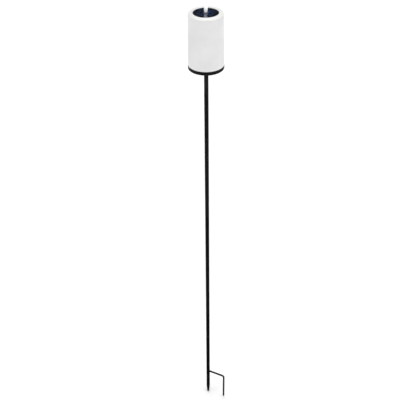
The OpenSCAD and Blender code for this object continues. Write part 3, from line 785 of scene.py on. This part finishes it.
def solder(metal):
    """Domed joints where the wires meet the board and the contacts' tabs."""
    dome = [(0.95, 0), (0.92, 0.06), (0.72, 0.22), (0.5, 0.42), (0.36, 0.62), (0.3, 0.8), (0.12, 0.86)]
    blob = [(0.5, -0.7), (0.85, -0.3), (0.85, 0.2), (0.55, 0.7), (0.3, 0.9)]
    pads = [RED_PAD, BLACK_PAD, *BATTERY_PADS, *[pad for _, pad, _ in LED_WIRES]]
    bm = bmesh.new()
    for pad in pads:
        lathe(bm, dome, position(pad, board_top()), sides=20)
    tab_z, tab_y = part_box("contact_plates")[1].z, middle("contact_plates").y / MM
    for tab_x in BATTERY_TABS:
        lathe(bm, blob, position((tab_x, tab_y), tab_z), sides=20)
    add_piece("solder_joints", bm, metal, "candle_head")


def contact_coil(mat):
    """The conical contact spring: its end turns lie flat, as on a wound spring."""
    low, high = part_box("contact_spring")
    wire, turns, steps, sides = 0.3 * MM, 3.0, 150, 12
    centre = middle("battery")
    foot_r = (high.z - low.z) / 2 - wire
    top_r = foot_r * 0.53
    x0, x1 = low.x + wire, high.x - wire
    flat = 0.12                      # the share of the coil that lies flat at each end
    path = []
    for k in range(steps + 1):
        t = k / steps
        climb = min(1, max(0, (t - flat) / (1 - 2 * flat)))
        r = foot_r + (top_r - foot_r) * t
        a = math.tau * turns * t
        x = x0 + (x1 - x0) * climb
        path.append(Vector((x, centre.y + r * math.cos(a), centre.z + r * math.sin(a))))
    bm = bmesh.new()
    rings = []
    for k, point in enumerate(path):
        along = (path[min(k + 1, steps)] - path[max(k - 1, 0)]).normalized()
        out = along.cross(X).normalized()
        up = along.cross(out)
        rings.append([point + wire * (math.cos(a) * out + math.sin(a) * up)
                      for a in (math.tau * j / sides for j in range(sides))])
    skin(bm, rings)
    add_piece("contact_coil", bm, mat, "candle_head", ("contact_spring",), sharp=60)


def battery_pieces(wrap, metal):
    """The battery: the wrap shrunk over its ends, the can's foot, and the button at its positive end."""
    low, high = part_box("battery")
    r, length = (high.z - low.z) / 2 / MM, (high.x - low.x) / MM
    foot = Vector((low.x, middle("battery").y, middle("battery").z))
    bm = bmesh.new()
    outline = [(r - 1.1, 0.16), (r - 1.0, 0.04), (r - 0.6, 0)]
    outline += arc((r - 0.5, 0.5), 0.5, -80, 0)
    groove = [(0, -3.2), (-0.12, -2.9), (-0.28, -2.6), (-0.12, -2.3), (0, -2.0)]
    outline += [(r + inward, length + back) for inward, back in groove]
    outline += arc((r - 0.6, length - 0.6), 0.6, 0, 80)
    outline += [(r - 1.3, length - 0.04), (r - 1.4, length - 0.2)]
    lathe(bm, outline, foot, X, sides=64)
    add_piece("battery_wrap", bm, wrap, "candle_head", ("battery",))

    bm = bmesh.new()
    lathe(bm, [(r - 1.25, 0), (r - 1.25, 0.3)], foot, X, sides=48)
    nub_low, nub_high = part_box("battery_nub")
    nub_r, nub_l = (nub_high.z - nub_low.z) / 2 / MM, (nub_high.x - nub_low.x) / MM
    button = [(nub_r + 1.6, -0.3), (nub_r + 1.6, -0.1), (nub_r + 0.25, -0.02), (nub_r, 0.2)]
    button += arc((nub_r - 0.3, nub_l - 0.3), 0.3, 0, 90, 4)
    lathe(bm, button + [(0.3, nub_l)], Vector((nub_low.x, foot.y, foot.z)), X, sides=40)
    add_piece("battery_can", bm, metal, "candle_head", ("battery_nub",))


def capacitor_can(sleeve, metal):
    """A small electrolytic capacitor: sleeve with its crimp groove, and the can's scored top."""
    low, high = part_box("capacitor")
    r, height = (high.x - low.x) / 2 / MM, (high.z - low.z) / MM
    centre = middle("capacitor")
    foot = Vector((centre.x, centre.y, low.z))
    outline = [(r - 0.7, 0), (r - 0.35, 0), (r - 0.08, 0.12), (r, 0.35), (r, 0.9)]
    outline += [(r - 0.05, 1.0), (r - 0.26, 1.25), (r - 0.26, 1.4), (r - 0.05, 1.65), (r, 1.75)]
    outline += [(r, height - 0.5)]
    outline += arc((r - 0.4, height - 0.4), 0.4, 10, 85, 5)
    outline += [(r - 0.75, height - 0.08)]
    bm = bmesh.new()
    lathe(bm, outline, foot, sides=48)
    add_piece("capacitor_sleeve", bm, sleeve, "candle_head", ("capacitor",))
    top = bmesh.new()
    rim = [(r - 0.72, height - 0.3), (r - 0.72, height - 0.06), (r - 0.8, height - 0.02)]
    lathe(top, rim, foot, sides=40)
    score_size = (2.4 * MM, 0.16 * MM, 0.16 * MM)
    for turn in (0.5, 0.5 + math.pi / 2):
        score = bmesh.new()
        slab(score, Vector(), score_size)
        place_at = Matrix.Translation((foot.x, foot.y, high.z)) @ Matrix.Rotation(turn, 4, "Z")
        bmesh.ops.transform(score, matrix=place_at, verts=score.verts)
        top = carved(top, score)
    add_piece("capacitor_top", top, metal, "candle_head")


def choke_sleeve(mat):
    """Shrink sleeve round the inductor's coil, with the turns showing through it."""
    low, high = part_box("inductor")
    centre = middle("inductor")
    waist, flange, turns = 2.35, 1.1, 8
    coil_h, turn_h = 0.62, 0.07      # how far the coil stands out, and each turn on it
    height = (high.z - low.z) / MM - 2 * flange
    outline = [(waist, 0)]
    for k in range(turns * 6 + 1):
        t = k / (turns * 6)
        swell = min(1, 6 * t, 6 * (1 - t))
        r = waist + coil_h * swell + turn_h * abs(math.sin(math.pi * turns * t))
        outline.append((r, height * t))
    outline.append((waist, height))
    bm = bmesh.new()
    lathe(bm, outline, Vector((centre.x, centre.y, low.z + flange * MM)), sides=44)
    add_piece("choke_sleeve", bm, mat, "candle_head", sharp=60)


def chip_legs(metal):
    """Four gull-wing legs down each side of the control chip."""
    low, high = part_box("control_chip")
    centre = middle("control_chip")
    pitch = 1.27 * MM
    profile = [(-0.1, 0.75), (0.22, 0.75), (0.34, 0.66), (0.4, 0.2), (0.5, 0.09), (0.95, 0.08)]
    bm = bmesh.new()
    for side in (-1, 1):
        edge = high.y if side > 0 else low.y
        for k in range(4):
            x = centre.x + (k - 1.5) * pitch
            path = [Vector((x, edge + side * out * MM, low.z + up * MM)) for out, up in profile]
            strip(bm, path, 0.42 * MM, 0.14 * MM, X)
    add_piece("chip_legs", bm, metal, "candle_head")


PASSIVES = (                         # where each chip part lies, in millimetres, and its turn in degrees
    (-9.5, -17.5, 0),
    (-9.5, -19.3, 0),
    (-3.5, -14.6, 0),
    (0.2, -17, 90),
    (-3, -23.4, 0),
    (9.8, -16.4, 90),
    (9.6, -20, 90),
    (11.8, -18.5, 0),
)


def small_parts(body_mat, metal):
    """Chip resistors and capacitors on the main board, with their tinned ends."""
    kinds = (                        # the last is each shape's offset and length, in millimetres
        ("chip_parts", body_mat, "chip_black", 0.5 * MM, [(0, 1.2)]),
        ("chip_part_ends", metal, "nickel", 0.55 * MM, [(-0.8, 0.42), (0.8, 0.42)]),
    )
    for name, mat, slot, thick, shapes in kinds:
        bm = bmesh.new()
        for x, y, turn in PASSIVES:
            first = len(bm.verts)
            for offset, length in shapes:
                size = (length * MM, thick * 1.8, thick)
                slab(bm, Vector((offset * MM, 0, thick / 2)), size, 0.06 * MM)
            bm.verts.ensure_lookup_table()
            turned = Matrix.Rotation(math.radians(turn), 4, "Z")
            place_at = Matrix.Translation(position((x, y), board_top()))
            bmesh.ops.transform(bm, matrix=place_at @ turned, verts=bm.verts[first:])
        add_piece(name, bm, mat, "candle_head")


CELL_STRIPS = 4
CELL_CLEAR_R = 5.9 * MM              # the cells are cut away round the flame
PRINT_THICKNESS = 0.012 * MM
FINGER_PITCH = 1.9 * MM
FINGER_HALF, BUSBAR_HALF = 0.06 * MM, 0.3 * MM
FINGER_MARGIN, BUSBAR_MARGIN = 0.5 * MM, 0.6 * MM


def clear_half(offset):
    """Half the length that the clearing round the flame takes out of a line that far from its middle."""
    return max(0, CELL_CLEAR_R ** 2 - offset * offset) ** 0.5


def finger_ends(x, half, y):
    """Where a finger at that y starts and stops, on the strip of that half width about x."""
    gap = clear_half(y)
    if gap <= abs(x) - half:
        return x - half, x + half
    return (gap, x + half) if x > 0 else (x - half, -gap)


def cell_grid(mat):
    """Silver fingers across each strip of silicon and a busbar down it, printed a hair above its face."""
    low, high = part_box("solar_cells")
    width = (high.x - low.x) / CELL_STRIPS
    half = width / 2 - FINGER_MARGIN
    fingers = math.floor((high.y - low.y) / 2 / FINGER_PITCH)
    bm = bmesh.new()

    def bar(x0, x1, y0, y1):
        centre = Vector(((x0 + x1) / 2, (y0 + y1) / 2, high.z + PRINT_THICKNESS / 2))
        slab(bm, centre, (x1 - x0, y1 - y0, PRINT_THICKNESS))

    for strip_k in range(CELL_STRIPS):
        x = low.x + width * (strip_k + 0.5)
        for k in range(-fingers, fingers + 1):
            y = k * FINGER_PITCH
            bar(*finger_ends(x, half, y), y - FINGER_HALF, y + FINGER_HALF)
        foot, top, gap = low.y + BUSBAR_MARGIN, high.y - BUSBAR_MARGIN, clear_half(x)
        spans = ((foot, -gap), (gap, top)) if gap else ((foot, top),)
        for y0, y1 in spans:
            bar(x - BUSBAR_HALF, x + BUSBAR_HALF, y0, y1)
    add_piece("cell_grid", bm, mat, "candle_head")


FLAME_NECK = 0.7                     # the foot's radius, as a share of the widest
FLAME_WAIST = 0.45                   # the share of the height where it is widest
FLAME_HOLLOW = 0.86                  # the share of the height that is hollow
FLAME_WALL = 0.8                     # in millimetres
FLAME_EDGE = 0.12                    # the foot's chamfer and the blunt point's radius, in millimetres


def flame_share(t):
    """The flame's radius at a share t of its height, as a share of its widest."""
    if t < FLAME_WAIST:
        return FLAME_NECK + (1 - FLAME_NECK) * math.sin(math.pi / 2 * t / FLAME_WAIST)
    return max(0.0, math.cos(math.pi / 2 * (t - FLAME_WAIST) / (1 - FLAME_WAIST))) ** 0.5


def flame_shell(mat):
    """The hollow flame, smooth from its foot to its blunt point."""
    low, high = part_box("flame_diffuser")
    widest, height = (high.x - low.x) / 2 / MM, (high.z - low.z) / MM
    outside = [(widest * flame_share(t), height * t) for t in (1 - (1 - k / 40) ** 2 for k in range(40))]
    foot_r = outside[0][0]
    outside[:1] = [(foot_r - FLAME_EDGE, 0), (foot_r, FLAME_EDGE)]
    inside = [(widest * flame_share(t) - FLAME_WALL, height * t)
              for t in (FLAME_HOLLOW * k / 16 for k in range(17))]
    inside = [(r, h) for r, h in inside if r > 0.2]
    bm = bmesh.new()
    lathe(bm, inside[::-1] + outside + [(FLAME_EDGE, height)], Vector((0, 0, low.z)), sides=56)
    add_piece("flame_shell", bm, mat, "candle_head", ("flame_diffuser",))


# ---- finishes for the CAD parts, and the pieces that stand for some of them ----

def finish_node(name, mat):
    """Gives a CAD node its material, in every slot it has."""
    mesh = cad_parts[name].data
    mesh.materials.clear()
    mesh.materials.append(mat)


def finish_nodes(names, mat):
    for name in names:
        finish_node(name, mat)


POLE_PAINTED_LIGHT = (                       # tone and gloss, painted light: each section up gets a lighter tone and more gloss to show the light it catches
    ("lower_pole", 0.001, 0.012),
    ("middle_pole", 0.002, 0.03),
    ("upper_pole", 0.004, 0.05),
)


def finish_pole():
    """The pole's sections, their plugs, and the welded foot."""
    for pole, tone, gloss in POLE_PAINTED_LIGHT:
        # each section's tone and gloss are painted light, lighter towards the top of the pole
        low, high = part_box(pole)
        finish_node(pole, powder_coat(pole + "_coat", (low.z, high.z), tone, gloss))
    finish_node("ground_spike", powder_coat("spike_coat", ends=(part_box("ground_spike")[0].z,)))
    finish_node("prong", powder_coat("prong_coat", ends=(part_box("prong")[0].z,)))
    weld_bead(powder_coat("weld_coat"))
    zinc = bright_metal("zinc_plate", (0.52, 0.53, 0.55), 0.3, 0.5, stretch=(1, 1, 0.05))
    finish_nodes(("lower_joint_plug", "upper_joint_plug"), zinc)


def finish_base(nickel):
    """The head's screws, the battery's contacts, the switch, and the black parts and their seals."""
    screws(bright_metal("screw_steel", (0.6, 0.59, 0.57), 0.18, 0.34, stretch=(0.2, 0.2, 3)))
    finish_node("contact_plates", nickel)
    contact_coil(nickel)
    tinned = bright_metal("tinned_steel", (0.58, 0.58, 0.6), 0.25, 0.42, stretch=(0.1, 1, 1))
    finish_node("switch_body", tinned)
    finish_node("stem_adaptor", moulded_black("stem_plastic", tone=0.008))
    finish_nodes(("base_cap", "battery_door"), moulded_black("base_plastic", depth=0.03 * MM))
    finish_node("panel_tray", moulded_black("tray_plastic", tone=0.004))
    finish_nodes(("base_gasket", "panel_seal"), rubber("seal_rubber"))
    finish_node("switch_knob", moulded("knob_plastic", (0.55, 0.55, 0.53), (0.66, 0.66, 0.64)))


def finish_top():
    """The candle's shell, and the panel, the flame and its LED in the well."""
    finish_node("candle_shell", frosted_shell())
    finish_node("solar_panel", panel_black())
    finish_node("solar_cells", silicon())
    finish_node("panel_cover", clear_resin())
    finish_node("flame_collar", smoked_plastic())
    cell_grid(silver_print())
    flame_shell(flame_white())
    finish_node("flame_led", led_epoxy())


def finish_circuit(nickel):
    """The boards and the parts on them, the battery, and the wires between them."""
    solder_tin = bright_metal("solder", (0.66, 0.66, 0.67), 0.16, 0.34)
    aluminium = bright_metal("aluminium", (0.75, 0.76, 0.77), 0.25, 0.4)
    finish_node("led_leads", nickel)
    finish_nodes(("main_board", "led_board"), circuit_green())
    finish_node("control_chip", moulded("chip_epoxy", (0.012, 0.012, 0.013), (0.03, 0.03, 0.032)))
    finish_node("inductor", moulded("ferrite", (0.03, 0.028, 0.025), (0.07, 0.06, 0.05)))
    choke_sleeve(moulded("shrink_sleeve", (0.006, 0.006, 0.007), (0.016, 0.016, 0.017), 0.3, 0.45))
    capacitor_can(moulded("capacitor_skin", (0.01, 0.016, 0.05), (0.02, 0.03, 0.09), 0.2, 0.35), aluminium)
    battery_pieces(battery_skin(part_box("battery")[1].x), nickel)
    chip_legs(solder_tin)
    small_parts(moulded("ceramic", (0.05, 0.045, 0.04), (0.16, 0.12, 0.08)), solder_tin)
    solder(solder_tin)
    red = wire_skin("red_pvc", (0.42, 0.02, 0.015))
    black = wire_skin("black_pvc", (0.018, 0.018, 0.018))
    yellow = wire_skin("yellow_pvc", (0.6, 0.42, 0.04))
    hanging_wires(solder_tin, red, black, yellow)
    battery_wires(solder_tin, red)


make_camera()
make_studio()
make_floor()
plated = bright_metal("nickel", (0.7, 0.67, 0.62), 0.12, 0.28)
finish_pole()
finish_base(plated)
finish_top()
finish_circuit(plated)
